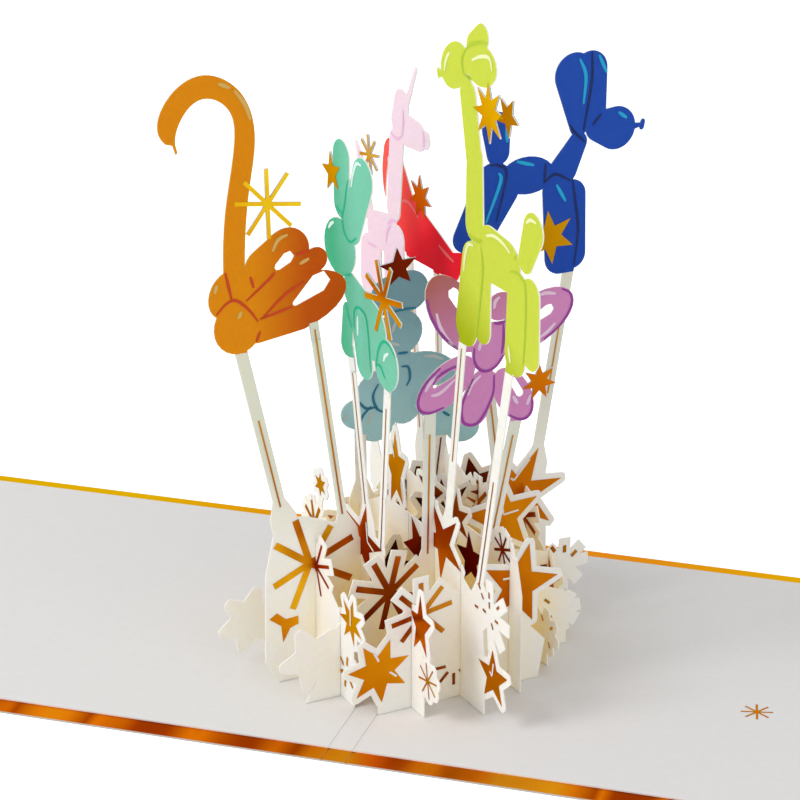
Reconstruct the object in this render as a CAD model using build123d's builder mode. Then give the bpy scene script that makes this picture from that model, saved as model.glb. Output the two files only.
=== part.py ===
"""Pop-up greeting card, opened flat: a folded cover, its liner and a lattice of twelve die-cut slats.

The slats stand in two families, square to each other and at 45 degrees to the spine, and
interlock in half-height slots, so the lattice folds flat when the card is shut. Each slat is one
sheet of card. Eight slats carry a balloon figure on two stems, and the four outer slats carry
stars and are held to the liner by tabs.

Frame: X across the opened card, Y along the spine, away from the reader, Z up, with the
origin on the underside, in the middle of the spine. The lattice stands a little beyond the middle.
"""
import os
from math import acos, atan2, cos, pi, radians, sin, sqrt

from build123d import *

os.makedirs("parts", exist_ok=True)

# Folder: cover board with a liner sheet glued inside
spine_length = 133.2
panel_width = 183.0
spine_width = 6.0
cover_thickness = 0.5
liner_thickness = 0.35
border_near = 5.8
border_far = 4.0
border_side = 5.0
score_width = 0.8
score_depth = 0.15

# Lattice of slotted slats
slat_thickness = 0.35
lattice_pitch = 19.0
units_per_pitch = 19
lattice_shift = 2.6
slot_clearance = 0.12
slot_height = 16.0
slot_top = 50.0
slat_lift = 0.1
tab_width = 7.0
tab_clearance = 0.2

# Stems, the white edge that is left round each foil star, and the chords of a bubble's rim
stem_width = 3.2
slim_stem_width = 2.4
stem_root = 8.0
flare_width = 7.0
slim_flare_width = 4.0
flare_height = 5.0
foil_margin = 1.5
bubble_chords = 24

# Worked out from the sizes above
cell = lattice_pitch / sqrt(2)
unit = lattice_pitch / units_per_pitch
liner_top = cover_thickness + liner_thickness
slat_foot = liner_top + slat_lift
slot_width = slat_thickness + slot_clearance
tab_slit = slat_thickness + tab_clearance
card_width = 2 * panel_width + spine_width
liner_depth = spine_length - border_near - border_far
liner_shift = (border_near - border_far) / 2

# Where each slat stands: rows count pitches from the centre, and each reach counts cells along the slat
rising_reach = {2.5: (-2.18, 1.12), 1.5: (-3.14, 2.3), 0.5: (-3.2, 2.8),
                -0.5: (-3.0, 3.0), -1.5: (-2.2, 2.85), -2.5: (-0.75, 1.8)}
falling_reach = {-2.42: (-0.7, 2.04), -1.5: (-2.2, 2.98), -0.5: (-2.85, 3.4),
                 0.5: (-2.9, 2.95), 1.5: (-2.9, 2.2), 2.5: (-1.75, 1.0)}


def rising(row):
    """Plane of a slat that runs from the near left to the far right, facing the near right."""
    step = row * lattice_pitch / 2
    return Plane(origin=(step, lattice_shift - step, 0), x_dir=(1, 1, 0), z_dir=(1, -1, 0))


def falling(row):
    """Plane of a slat that runs from the far left to the near right, facing the near left."""
    step = row * lattice_pitch / 2
    return Plane(origin=(step, lattice_shift + step, 0), x_dir=(1, -1, 0), z_dir=(-1, -1, 0))


def spot(point):
    """Point (along, up) of a slat's drawing, which is in units of the lattice."""
    return (point[0] * unit, point[1] * unit)


def crossings(row, own, other):
    """Places along a slat, in cells, where it passes through a slat of the other family."""
    start, end = own[row]
    return [r for r, (first, last) in other.items() if start < r < end and first < row < last]


def wall(reach, *crest):
    """Standing wall of a slat from its foot up to a crest of (cells, height) points, left to right."""
    top = [(t * cell, slat_foot + h * unit) for t, h in reversed(crest)]
    Polygon((reach[0] * cell, slat_foot), (reach[1] * cell, slat_foot), *top, align=None)


def slots_below(row):
    """Slots of a rising slat, open at its foot."""
    height = slot_height + slot_clearance
    for place in crossings(row, rising_reach, falling_reach):
        with Locations((place * cell, slat_foot + height / 2)):
            Rectangle(slot_width, height, mode=Mode.SUBTRACT)


def slots_above(row):
    """Slots of a falling slat, open at its crest."""
    height = slot_top - slot_height
    for place in crossings(row, falling_reach, rising_reach):
        with Locations((place * cell, slat_foot + slot_height + height / 2)):
            Rectangle(slot_width, height, mode=Mode.SUBTRACT)


def tabs(*places):
    """Tabs of an outer slat that pass through the liner and stand on the cover."""
    height = slat_lift + liner_thickness + slot_clearance
    for place in places:
        with Locations((place * cell, cover_thickness + height / 2)):
            Rectangle(tab_width, height)


def stem(foot, height, top, width=stem_width, flare_size=flare_width):
    """Straight stem from the wall's crest at foot (cells) and height up to a figure, with a flared foot."""
    low, high = Vector(foot * cell, slat_foot + height * unit), Vector(*spot(top))
    up = (high - low).normalized()
    side = Vector(up.Y, -up.X) * (width / 2)
    root = low - up * stem_root
    flare = side * (flare_size / width)
    outline = [root - flare, low - flare, low - side + up * flare_height, high - side,
               high + side, low + side + up * flare_height, low + flare, root + flare]
    Polygon(*[(p.X, p.Y) for p in outline], align=None)


def pod(start, start_radius, end, end_radius, mode=Mode.ADD):
    """Balloon bubble: two round ends of their own size, joined by straight tangents."""
    run = Vector(*end) - Vector(*start)
    heading = atan2(run.Y, run.X)
    spread = acos((start_radius - end_radius) / run.length)

    def on_start(angle):
        return spot((start[0] + start_radius * cos(angle), start[1] + start_radius * sin(angle)))

    def on_end(angle):
        return spot((end[0] + end_radius * cos(angle), end[1] + end_radius * sin(angle)))

    with BuildLine() as outline:
        Line(on_start(heading - spread), on_end(heading - spread))
        ThreePointArc(on_end(heading - spread), on_end(heading), on_end(heading + spread))
        Line(on_end(heading + spread), on_start(heading + spread))
        ThreePointArc(on_start(heading + spread), on_start(heading + pi), on_start(heading - spread))
    make_face(outline.edges(), mode=mode)


def chip(start, start_radius, end, end_radius, mode=Mode.ADD):
    """Small pod, or the gap in a loop, cut with three straight chords at each end."""
    run = Vector(*end) - Vector(*start)
    heading = atan2(run.Y, run.X)
    spread = acos((start_radius - end_radius) / run.length)
    outline = []
    ends = ((end, end_radius, heading, spread), (start, start_radius, heading + pi, pi - spread))
    for centre, radius, middle, sweep in ends:
        for share in (-1, -1 / 3, 1 / 3, 1):
            angle = middle + share * sweep
            outline.append(spot((centre[0] + radius * cos(angle), centre[1] + radius * sin(angle))))
    Polygon(*outline, align=None, mode=mode)


def bubble(centre, long_radius, short_radius, lean=0.0, mode=Mode.ADD):
    """Plump balloon bubble: an ellipse that leans by an angle from the level, cut in even chords."""
    along = Vector(cos(radians(lean)), sin(radians(lean))) * long_radius
    aside = Vector(-sin(radians(lean)), cos(radians(lean))) * short_radius
    turns = [2 * pi * k / bubble_chords for k in range(bubble_chords)]
    rim = [Vector(*centre) + along * cos(a) + aside * sin(a) for a in turns]
    Polygon(*[spot((p.X, p.Y)) for p in rim], align=None, mode=mode)


def star_corners(centre, points, reach, waist, turn, stretch=1.0):
    """Corners of a star, its first tip at the angle turn, drawn out upright by stretch."""
    corners = []
    for k in range(2 * points):
        radius = (waist if k % 2 else reach) * unit
        angle = radians(turn + 180 * k / points)
        corners.append((centre[0] + radius * cos(angle), centre[1] + stretch * radius * sin(angle)))
    return corners


def star(centre, points, reach, waist, turn=90.0):
    """Plain pointed star joined to a figure."""
    Polygon(*star_corners(spot(centre), points, reach, waist, turn), align=None)


def burst(centre, reach, width, turns=(0, 45, 90, 135), margin=0.0):
    """Straight rays, cut as crossing bars at the angles in turns, with a margin round each."""
    with Locations(spot(centre)):
        for turn in turns:
            Rectangle(2 * (reach * unit + margin), width * unit + 2 * margin, rotation=turn)


def edged_star(place, height, points, reach, waist, turn=90.0, stretch=1.0):
    """Foil star on a wall with an even white edge round it; place counts cells."""
    centre = (place * cell, slat_foot + height * unit)
    corners = [Vector(*c) for c in star_corners(centre, points, reach, waist, turn, stretch)]
    outline = []
    for k, corner in enumerate(corners):
        before = (corner - corners[k - 1]).normalized()
        after = (corners[(k + 1) % len(corners)] - corner).normalized()
        left, right = Vector(before.Y, -before.X), Vector(after.Y, -after.X)
        if k % 2:
            outline.append(corner + (left + right) * (foil_margin / (1 + left.dot(right))))
        else:
            middle = (left + right).normalized()
            for side in (left, (left + middle).normalized(), (right + middle).normalized(), right):
                outline.append(corner + side * foil_margin)
    Polygon(*[(p.X, p.Y) for p in outline], align=None)


def edged_burst(place, height, reach, width, turns=(0, 45, 90, 135)):
    """Foil burst on a wall with a square-ended white edge round each ray; place counts cells."""
    burst((place * cell / unit, slat_foot / unit + height), reach, width, turns, foil_margin)


# Cover: one board with two score lines along the spine
with BuildPart() as cover:
    with BuildSketch():
        Rectangle(card_width, spine_length)
    extrude(amount=cover_thickness)
    with BuildSketch(Plane.XY.offset(cover_thickness)):
        with GridLocations(spine_width, 0, 2, 1):
            Rectangle(score_width, spine_length)
    extrude(amount=-score_depth, mode=Mode.SUBTRACT)
cover.part.label = "cover"
export_step(cover.part, "parts/cover.step")

# Liner: a sheet glued inside the cover, slit where the tabs of the outer slats pass through
tab_places = {("rising", 2.5): (-1, 0), ("falling", -2.42): (0, 1),
              ("rising", -2.5): (0, 1), ("falling", 2.5): (-1, 0)}
with BuildPart() as liner:
    with BuildSketch(Plane.XY.offset(cover_thickness)):
        with Locations((0, liner_shift)):
            Rectangle(card_width - 2 * border_side, liner_depth)
    extrude(amount=liner_thickness)
    with BuildSketch(Plane.XY.offset(liner_top)):
        with Locations((0, liner_shift)):
            with GridLocations(spine_width, 0, 2, 1):
                Rectangle(score_width, liner_depth)
    extrude(amount=-score_depth, mode=Mode.SUBTRACT)
    with BuildSketch(Plane.XY.offset(liner_top)):
        for (family, row), places in tab_places.items():
            plane = rising(row) if family == "rising" else falling(row)
            turn = 45 if family == "rising" else -45
            for place in places:
                middle = plane.origin + plane.x_dir * (place * cell)
                with Locations((middle.X, middle.Y)):
                    Rectangle(tab_width + tab_clearance, tab_slit, rotation=turn)
    extrude(amount=-liner_thickness, mode=Mode.SUBTRACT)
liner.part.label = "liner"
export_step(liner.part, "parts/liner.step")

# Near right star slat: seven-pointed star at its left end, burst and five-pointed star
with BuildPart() as near_right_star_slat:
    with BuildSketch(rising(2.5)):
        wall(rising_reach[2.5], (-2.18, 16), (-1.9, 24), (-0.87, 32), (-0.42, 26), (0.3, 24), (1.25, 10))
        edged_star(-2.166, 11.6, 7, 8.5, 4.2, turn=172)
        edged_burst(-1.3, 24.3, 8.3, 1.3, turns=(10, 48, 92, 135))
        edged_star(0.685, 26.2, 5, 11.0, 4.6, turn=75)
        slots_below(2.5)
        tabs(*tab_places["rising", 2.5])
    extrude(amount=slat_thickness / 2, both=True)
near_right_star_slat.part.label = "near_right_star_slat"
export_step(near_right_star_slat.part, "parts/near_right_star_slat.step")

# Near left star slat: a burst at the swan's slat and a slim star at the near end
with BuildPart() as near_left_star_slat:
    with BuildSketch(falling(-2.42)):
        wall(falling_reach[-2.42], (-0.7, 18), (-0.3, 26), (0.9, 28), (1.5, 22), (2.04, 16))
        edged_burst(0.545, 29.4, 7.5, 1.2, turns=(20, 65, 110, 155))
        edged_star(1.935, 22.3, 7, 6.2, 2.6, turn=80)
        edged_star(1.757, 9, 6, 4.5, 3.4)
        slots_above(-2.42)
        tabs(*tab_places["falling", -2.42])
    extrude(amount=slat_thickness / 2, both=True)
near_left_star_slat.part.label = "near_left_star_slat"
export_step(near_left_star_slat.part, "parts/near_left_star_slat.step")

# Far left star slat
with BuildPart() as far_left_star_slat:
    with BuildSketch(rising(-2.5)):
        wall(rising_reach[-2.5], (-0.75, 16), (-0.3, 24), (0.9, 28), (1.8, 18))
        edged_star(-0.3, 18, 7, 7.0, 3.2)
        edged_burst(0.95, 24, 7.0, 1.3, turns=(10, 55, 100, 145))
        slots_below(-2.5)
        tabs(*tab_places["rising", -2.5])
    extrude(amount=slat_thickness / 2, both=True)
far_left_star_slat.part.label = "far_left_star_slat"
export_step(far_left_star_slat.part, "parts/far_left_star_slat.step")

# Far right star slat
with BuildPart() as far_right_star_slat:
    with BuildSketch(falling(2.5)):
        wall(falling_reach[2.5], (-1.75, 18), (-0.9, 28), (0.2, 20), (1.0, 10))
        edged_star(0.5, 12, 5, 6.5, 2.8)
        edged_burst(-0.5, 24, 7.0, 1.3, turns=(22.5, 67.5, 112.5, 157.5))
        slots_above(2.5)
        tabs(*tab_places["falling", 2.5])
    extrude(amount=slat_thickness / 2, both=True)
far_right_star_slat.part.label = "far_right_star_slat"
export_step(far_right_star_slat.part, "parts/far_right_star_slat.step")

# Swan: hooked neck, two round bubbles and a wing of three bubbles, two of them bent into loops
with BuildPart() as swan_slat:
    with BuildSketch(rising(0.5)):
        wall(rising_reach[0.5], (-3.46, 6), (-3.44, 29), (-3.2, 44), (-2.6, 43), (-1.7, 38), (-1.3, 30),
             (0.4, 27), (2.8, 18))
        edged_star(-0.9, 23, 5, 9.0, 4.0, turn=80)
        edged_star(1.45, 31.5, 5, 10.8, 4.5, turn=93)
        edged_burst(2.82, 14.8, 5.6, 0.3, turns=(2, 40, 88, 130))
        stem(-3.07, 44, (-52.3, 93))
        stem(-1.83, 37, (-32.8, 96), slim_stem_width)
        with BuildLine():
            back_of_neck = ((-50.0, 106), (-50.0, 115), (-48.5, 130), (-47.0, 143), (-51.0, 153.5),
                            (-60.5, 158), (-69.0, 153), (-71.2, 146.5), (-69.3, 143))
            outer = Spline(*[spot(p) for p in back_of_neck])
            beak_tip = ((-67.6, 142.5), (-66.9, 140.2), (-66.4, 140.6), (-66.9, 142.6))
            beak = Polyline(outer @ 1, *[spot(p) for p in beak_tip])
            front_of_neck = ((-66.0, 147), (-60.0, 152.4), (-53.5, 149), (-52.2, 141), (-54.5, 127),
                             (-55.6, 115), (-55.5, 106))
            inner = Spline(beak @ 1, *[spot(p) for p in front_of_neck])
            Line(inner @ 1, outer @ 0)
        make_face()
        bubble((-54.0, 104.3), 6.4, 5.4, lean=60)
        bubble((-52.1, 95.9), 6.3, 6.7)
        pod((-45.0, 109.5), 5.2, (-39.3, 112.6), 5.9)
        pod((-47.5, 102.5), 4.6, (-31.8, 109.4), 3.1)
        bubble((-36.8, 99.3), 13.4, 6.9, lean=14)
        pod((-47.0, 94.6), 3.6, (-36.0, 97.0), 4.6)
        chip((-41.6, 109.2), 0.9, (-38.9, 111.2), 1.5, mode=Mode.SUBTRACT)
        chip((-37.2, 99.4), 0.7, (-30.6, 103.8), 2.6, mode=Mode.SUBTRACT)
        burst((-44.0, 125.0), 8.6, 1.0, turns=(-8.5, 52.5, 91.5, 134))
        slots_below(0.5)
    extrude(amount=slat_thickness / 2, both=True)
swan_slat.part.label = "swan_slat"
export_step(swan_slat.part, "parts/swan_slat.step")

# Butterfly: head, body and abdomen between four looped wings
with BuildPart() as butterfly_slat:
    with BuildSketch(rising(1.5)):
        wall(rising_reach[1.5], (-2.9, 6), (-2.5, 19), (-1.5, 28), (-1.0, 31), (-0.54, 31), (-0.36, 28),
             (-0.1, 22.5), (0.22, 18), (1.7, 18), (2.3, 14))
        edged_star(-3.0, 11.8, 5, 7.6, 3.4, turn=115)
        edged_burst(-1.43, 24.7, 9.6, 1.6, turns=(-18, 38, 76, 117))
        edged_burst(2.18, 9.0, 4.2, 0.4, turns=(10, 55, 100, 145))
        stem(-0.66, 29.5, (-8.2, 74))
        stem(0.44, 19, (16.2, 68))
        bubble((10.8, 94.8), 3.9, 3.6)
        bubble((8.0, 84.8), 6.5, 4.8, lean=75)
        pod((6.3, 75.2), 4.2, (3.5, 69.2), 4.2)
        bubble((-1.8, 95.0), 11.8, 5.9, lean=-59)
        bubble((20.3, 89.6), 11.6, 6.4, lean=26)
        bubble((-4.0, 77.2), 9.2, 5.2, lean=36)
        bubble((14.6, 71.4), 8.2, 4.6, lean=-58)
        chip((-2.2, 100.4), 1.4, (1.8, 93.0), 0.7, mode=Mode.SUBTRACT)
        chip((17.2, 88.2), 0.7, (24.2, 91.8), 1.4, mode=Mode.SUBTRACT)
        chip((-7.0, 77.4), 0.5, (-2.2, 79.9), 1.0, mode=Mode.SUBTRACT)
        chip((14.3, 75.2), 0.9, (16.5, 71.4), 1.0, mode=Mode.SUBTRACT)
        star((21.8, 73.4), 7, 4.9, 2.2)
        slots_below(1.5)
    extrude(amount=slat_thickness / 2, both=True)
butterfly_slat.part.label = "butterfly_slat"
export_step(butterfly_slat.part, "parts/butterfly_slat.step")

# Dog: two ears, a nose with its knot, neck, body, tail and four legs
with BuildPart() as dog_slat:
    with BuildSketch(rising(-0.5)):
        wall(rising_reach[-0.5], (-3.0, 17), (-1.5, 30), (-0.3, 28), (0.2, 24), (1.2, 24), (1.6, 34),
             (2.6, 33), (3.0, 20))
        edged_star(0.7, 29.5, 7, 9.5, 4.6)
        edged_star(-3.31, 11.5, 6, 7.4, 3.6, turn=75)
        edged_star(2.31, 30, 7, 13.8, 5.6, turn=61)
        stem(2.75, 38, (45.8, 92))
        stem(1.95, 36, (17.8, 101))
        pod((47.6, 127.2), 2.6, (46.2, 140.6), 5.7)
        pod((51.2, 131.0), 4.2, (50.7, 141.4), 4.8)
        pod((53.6, 126.4), 4.0, (58.4, 125.3), 5.6)
        chip((63.2, 125.0), 0.9, (65.6, 125.2), 0.5)
        chip((65.9, 124.4), 0.7, (66.2, 126.0), 0.7)
        pod((47.4, 123.2), 2.7, (43.4, 116.6), 4.0)
        bubble((33.2, 116.6), 7.6, 4.9, lean=-4)
        pod((42.0, 111.6), 4.5, (43.0, 93.8), 4.5)
        pod((45.8, 109.5), 4.2, (46.4, 94.0), 3.9)
        pod((23.6, 116.2), 5.2, (16.2, 103.0), 3.9)
        pod((26.4, 113.4), 4.3, (19.2, 101.6), 3.6)
        pod((24.8, 123.6), 3.2, (24.2, 130.2), 4.0)
        star((39.9, 99.4), 6, 7.2, 3.2, turn=96)
        slots_below(-0.5)
    extrude(amount=slat_thickness / 2, both=True)
dog_slat.part.label = "dog_slat"
export_step(dog_slat.part, "parts/dog_slat.step")

# Bear: head with two ears over a muzzle, a seated body, arms and legs
with BuildPart() as bear_slat:
    with BuildSketch(rising(-1.5)):
        wall(rising_reach[-1.5], (-2.2, 16), (-1.6, 24), (-0.5, 32), (1.1, 32), (1.9, 28), (2.85, 18))
        edged_star(1.95, 28, 5, 9.0, 4.0, turn=100)
        edged_burst(0.6, 30, 7.5, 1.4, turns=(30, 75, 120, 165))
        stem(-0.47, 32, (-6.6, 52))
        stem(1.12, 32, (17.0, 49))
        pod((1.6, 86.0), 5.2, (7.4, 86.4), 5.4)
        bubble((4.3, 75.6), 6.8, 6.2)
        bubble((6.0, 60.6), 6.6, 9.9)
        bubble((12.6, 64.6), 8.6, 4.6, lean=-16)
        bubble((-1.2, 62.0), 6.6, 4.8, lean=14)
        bubble((-7.4, 55.8), 4.8, 4.0, lean=-20)
        bubble((-2.0, 52.6), 5.4, 5.2)
        bubble((16.8, 50.6), 5.0, 5.2)
        bubble((22.8, 46.6), 5.0, 4.0, lean=-14)
        star((4.2, 93.0), 5, 5.4, 2.3, turn=94)
        slots_below(-1.5)
    extrude(amount=slat_thickness / 2, both=True)
bear_slat.part.label = "bear_slat"
export_step(bear_slat.part, "parts/bear_slat.step")

# Rabbit: two long ears, head, body, front legs and a round hind leg
with BuildPart() as rabbit_slat:
    with BuildSketch(falling(-1.5)):
        wall(falling_reach[-1.5], (-2.2, 16), (-1.4, 28), (0.3, 36), (1.2, 36), (1.46, 30), (1.5, 16),
             (2.1, 16), (2.2, 26), (2.85, 24), (2.98, 14))
        edged_star(0.61, 33.9, 5, 10.4, 3.8, turn=80)
        edged_star(2.85, 23.5, 5, 5.6, 2.3, stretch=1.5)
        edged_star(3.134, 10.7, 8, 4.5, 3.4, turn=100)
        edged_burst(-1.4, 28, 6.0, 1.2, turns=(15, 60, 105, 150))
        edged_star(-1.14, 40, 6, 3.3, 1.5)
        chip((-16.1, 29.0), 1.4, (-15.3, 39.0), 1.2)
        stem(0.78, 40, (1.8, 84))
        stem(1.29, 30, (21.4, 82), flare_size=slim_flare_width)
        pod((-2.4, 119.0), 3.9, (-2.4, 130.4), 4.3)
        pod((3.2, 114.6), 4.4, (8.6, 127.8), 5.2)
        bubble((-3.4, 107.6), 8.4, 7.2, lean=12)
        pod((2.6, 98.6), 4.2, (13.2, 91.6), 7.4)
        pod((0.8, 92.0), 2.8, (0.0, 83.8), 3.0)
        pod((7.4, 90.6), 4.4, (9.4, 82.2), 4.2)
        bubble((20.7, 85.4), 6.0, 6.4)
        star((-7.4, 125.2), 5, 5.2, 2.1, turn=100)
        burst((19.3, 101.3), 9.6, 1.4, turns=(10, 67, 112, 158))
        slots_above(-1.5)
    extrude(amount=slat_thickness / 2, both=True)
rabbit_slat.part.label = "rabbit_slat"
export_step(rabbit_slat.part, "parts/rabbit_slat.step")

# Giraffe: horns, head, snout with its knot, long neck, body, tail and four legs
with BuildPart() as giraffe_slat:
    with BuildSketch(falling(-0.5)):
        wall(falling_reach[-0.5], (-2.85, 18), (-1.6, 30), (-0.45, 38), (1.1, 38), (1.3, 47), (1.6, 47),
             (1.75, 38), (2.4, 33), (3.3, 27), (3.4, 6))
        edged_star(1.816, 37.2, 5, 10.4, 3.6, turn=49)
        edged_star(0, 47, 5, 5.4, 2.6, turn=96, stretch=1.95)
        edged_burst(3.59, 27.5, 7.5, 0.4, turns=(-2, 41, 95, 131))
        edged_star(3.72, 12, 5, 7.4, 3.1, turn=92)
        stem(1.97, 41, (34.0, 97))
        stem(3.12, 29, (56.4, 97))
        pod((38.2, 165.2), 3.8, (41.4, 168.6), 3.1)
        bubble((41.0, 162.0), 7.4, 5.0, lean=6)
        bubble((28.9, 159.0), 7.2, 5.2, lean=34)
        chip((23.0, 155.6), 1.0, (21.4, 155.2), 0.6)
        chip((21.4, 154.6), 0.7, (21.1, 155.9), 0.7)
        pod((35.2, 153.6), 3.7, (38.6, 138.0), 3.7)
        pod((38.6, 140.0), 3.7, (38.8, 123.6), 4.2)
        pod((46.0, 118.8), 6.7, (54.0, 118.4), 6.2)
        pod((62.4, 122.4), 3.2, (65.6, 130.0), 4.4)
        pod((38.2, 114.4), 5.0, (35.4, 98.0), 5.0)
        pod((42.8, 112.0), 3.9, (42.8, 99.8), 3.9)
        pod((59.2, 114.0), 4.7, (58.2, 97.8), 4.6)
        pod((64.8, 114.6), 4.1, (65.2, 100.8), 3.9)
        star((45.0, 152.0), 8, 7.2, 3.2, turn=94)
        star((53.6, 153.4), 5, 4.9, 2.1, turn=62)
        slots_above(-0.5)
    extrude(amount=slat_thickness / 2, both=True)
giraffe_slat.part.label = "giraffe_slat"
export_step(giraffe_slat.part, "parts/giraffe_slat.step")

# Unicorn: slim horn, head and snout, neck, body, thin tail and four legs
with BuildPart() as unicorn_slat:
    with BuildSketch(falling(0.5)):
        wall(falling_reach[0.5], (-2.9, 34), (-1.6, 38), (0, 34), (1.6, 34), (2.2, 36), (2.75, 35),
             (2.95, 26))
        edged_burst(2.25, 34.8, 4.2, 0.8, turns=(20, 65, 110, 155))
        edged_star(0.5, 34, 6, 7.0, 3.0)
        edged_star(-0.5, 36, 5, 7.0, 3.0)
        stem(-2.02, 38, (-28.2, 84))
        stem(-2.78, 34, (-40.8, 83))
        chip((-20.9, 133.6), 1.1, (-15.4, 145.0), 0.5)
        pod((-24.4, 129.2), 3.8, (-22.9, 134.4), 3.7)
        pod((-20.6, 128.3), 4.2, (-14.0, 128.3), 3.7)
        bubble((-10.0, 128.4), 2.4, 1.8, lean=80)
        pod((-25.6, 123.8), 3.6, (-27.2, 106.0), 3.4)
        pod((-36.4, 97.6), 5.1, (-29.6, 98.9), 4.9)
        pod((-25.4, 98.4), 3.8, (-24.9, 88.0), 3.2)
        pod((-29.0, 96.0), 3.6, (-28.6, 84.0), 3.4)
        pod((-40.6, 91.0), 4.5, (-41.0, 83.2), 4.3)
        pod((-37.4, 92.0), 3.4, (-36.8, 82.6), 3.2)
        pod((-40.4, 101.0), 2.2, (-44.6, 112.6), 1.8)
        chip((-44.6, 112.6), 1.8, (-47.6, 117.8), 0.5)
        burst((-40.4, 116.4), 5.2, 0.8, turns=(10, 55, 100, 145))
        slots_above(0.5)
    extrude(amount=slat_thickness / 2, both=True)
unicorn_slat.part.label = "unicorn_slat"
export_step(unicorn_slat.part, "parts/unicorn_slat.step")

# Bird: plump body drawn out into a tail, and a hooked neck
with BuildPart() as bird_slat:
    with BuildSketch(falling(1.5)):
        wall(falling_reach[1.5], (-2.9, 34), (-1.6, 38), (-0.3, 32), (0.6, 24), (1.5, 18), (2.2, 10))
        edged_star(2.15, 9, 7, 5.0, 2.2)
        edged_burst(-0.5, 30, 6.4, 1.2)
        stem(-1.98, 38, (-29.4, 88))
        stem(-2.78, 34, (-44.6, 90))
        pod((-43.0, 94.2), 8.2, (-20.6, 90.4), 3.6)
        pod((-21.0, 90.6), 3.4, (-13.6, 94.2), 2.0)
        pod((-46.6, 99.0), 5.6, (-50.6, 110.0), 2.6)
        with BuildLine():
            crown = ThreePointArc(spot((-48.1, 110.8)), spot((-53.2, 115.4)), spot((-58.4, 110.2)))
            face = ThreePointArc(crown @ 1, spot((-59.0, 104.0)), spot((-57.4, 98.2)))
            chin = ThreePointArc(face @ 1, spot((-57.0, 103.0)), spot((-56.0, 108.0)))
            throat = ThreePointArc(chin @ 1, spot((-54.2, 110.4)), spot((-52.8, 108.6)))
            Line(throat @ 1, crown @ 0)
        make_face()
        star((-38.2, 103.6), 7, 6.0, 2.7, turn=95)
        slots_above(1.5)
    extrude(amount=slat_thickness / 2, both=True)
bird_slat.part.label = "bird_slat"
export_step(bird_slat.part, "parts/bird_slat.step")
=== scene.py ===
# %% [markdown]
# A pop-up card is paper, ink and foil. The solids already have every die-cut outline, so this scene
# adds what the printer adds: ink on the balloon figures, thin twist lines, glints and stamped gold.
# All of it could be painted as one picture for each sheet. Drawn as shaders and thin flat shapes it
# stays sharp at any distance, and every star can be moved by its own numbers. The frame brings the
# solids in at their real size, and nothing in it is moved.

# %% Load the frame
from math import atan2, cos, pi, radians, sin, sqrt

import bmesh
import bpy
from mathutils import Matrix, Vector


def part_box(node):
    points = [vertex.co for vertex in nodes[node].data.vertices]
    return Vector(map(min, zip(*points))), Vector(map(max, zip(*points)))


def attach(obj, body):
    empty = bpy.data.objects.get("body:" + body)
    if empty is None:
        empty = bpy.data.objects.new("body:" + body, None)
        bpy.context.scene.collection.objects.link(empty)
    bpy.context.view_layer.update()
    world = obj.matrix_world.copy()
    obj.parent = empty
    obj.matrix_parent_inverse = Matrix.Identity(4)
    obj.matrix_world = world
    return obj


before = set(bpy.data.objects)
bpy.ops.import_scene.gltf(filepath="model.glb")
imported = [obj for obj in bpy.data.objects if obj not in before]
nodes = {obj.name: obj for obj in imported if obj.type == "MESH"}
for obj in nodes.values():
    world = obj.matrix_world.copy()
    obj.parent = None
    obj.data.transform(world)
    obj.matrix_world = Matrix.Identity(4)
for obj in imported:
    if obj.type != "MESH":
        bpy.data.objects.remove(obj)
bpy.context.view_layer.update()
print("CAD nodes:", len(nodes))

# %% [markdown]
# All slats stand on two families of planes that cross at right angles. A drawing on a slat is
# easiest to read flat, in millimetres along the slat and up. Each drawing could be turned into place
# by hand, but one class that turns a flat point into a place in the scene does it for all of them.

# %% Planes of the slats
MM = 0.001
LATTICE_PITCH = 19.0
LATTICE_SHIFT = 2.6
SLAT_THICKNESS = 0.35
UP = Vector((0, 0, 1))


class Slat:
    """One slat: its node, its direction along, its printed face and the middle of its foot."""

    def __init__(self, node, family, row):
        step = row * LATTICE_PITCH / 2
        slope = 1 if family == "rising" else -1
        self.node = node
        self.along = Vector((1, slope, 0)) / sqrt(2)
        self.face = Vector((slope, -1, 0)) / sqrt(2)
        self.origin = Vector((step, LATTICE_SHIFT - slope * step, 0))

    def at(self, point, proud, side):
        """A flat point (along, up) on the printed face (side 1) or the back (side -1)."""
        out = side * (SLAT_THICKNESS / 2 + proud)
        return (self.origin + self.along * point[0] + UP * point[1] + self.face * out) * MM

    def stand(self, centre, proud, side):
        """The matrix that stands a flat drawing up on one side of the slat, round a centre."""
        turn = Matrix((self.along * side, UP, self.face * side)).transposed().to_4x4()
        return Matrix.Translation(self.at(centre, proud, side)) @ turn @ Matrix.Scale(MM, 4)


SLATS = {
    name: Slat(name + "_slat", family, row)
    for name, family, row in (
        ("swan", "rising", 0.5), ("butterfly", "rising", 1.5), ("dog", "rising", -0.5),
        ("bear", "rising", -1.5), ("rabbit", "falling", -1.5), ("giraffe", "falling", -0.5),
        ("unicorn", "falling", 0.5), ("bird", "falling", 1.5), ("near_right_star", "rising", 2.5),
        ("near_left_star", "falling", -2.42), ("far_left_star", "rising", -2.5),
        ("far_right_star", "falling", 2.5),
    )
}
print("slats:", ", ".join(SLATS))

# %% [markdown]
# Colours are picked as sRGB hex values, and shaders work in linear light, so one function turns one
# into the other. Nodes could be wired by hand in the editor. One function that adds a node with its
# settings and inputs in a single call makes a material read like a recipe instead. Every pattern
# reads Object coordinates, turned to millimetres, so that its scale is a real size. A Mix node lists
# its inputs for plain numbers first, so its two colours are found by the numbers 6 and 7.

# %% Colour and node helpers
COLOUR_A = 6
COLOUR_B = 7


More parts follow.
